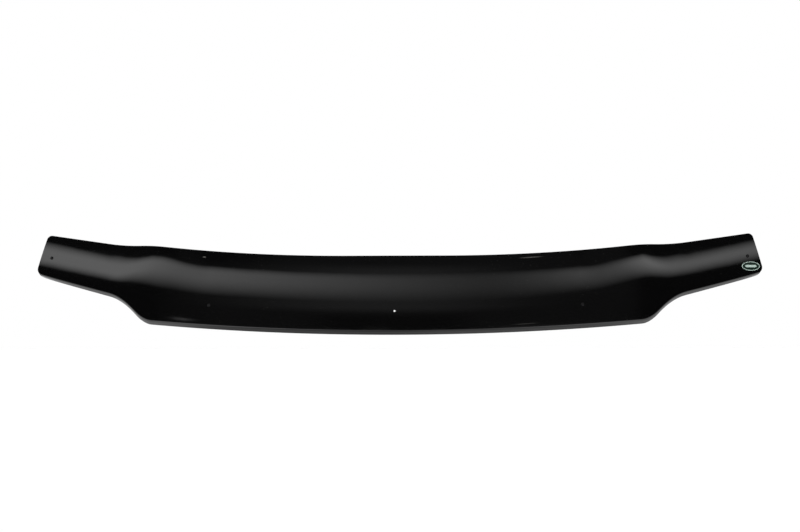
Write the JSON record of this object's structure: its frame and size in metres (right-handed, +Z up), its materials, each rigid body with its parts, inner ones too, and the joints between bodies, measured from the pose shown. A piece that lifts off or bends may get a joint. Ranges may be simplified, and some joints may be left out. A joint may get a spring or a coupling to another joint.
{
  "type": "hood deflector",
  "caption": "Bowed gloss black acrylic shield for the front edge of a car hood, with raised wings, a return lip and rubber bumpers.",
  "frame": {"origin": "middle fixing hole, where its axis meets the front face", "axes": "+X across the car to the right as seen from the front, -Y to the front, +Z up"},
  "size_m": [1.4562, 0.1849, 0.202],
  "materials": {
    "shield": "gloss black acrylic",
    "rubber_bumpers": "matt black rubber",
    "oval_decal": "printed film"
  },
  "bodies": {
    "root": {"shield": "shield", "rubber_bumpers": "rubber_bumpers", "oval_decal": "oval_decal"}
  },
  "joints": []
}
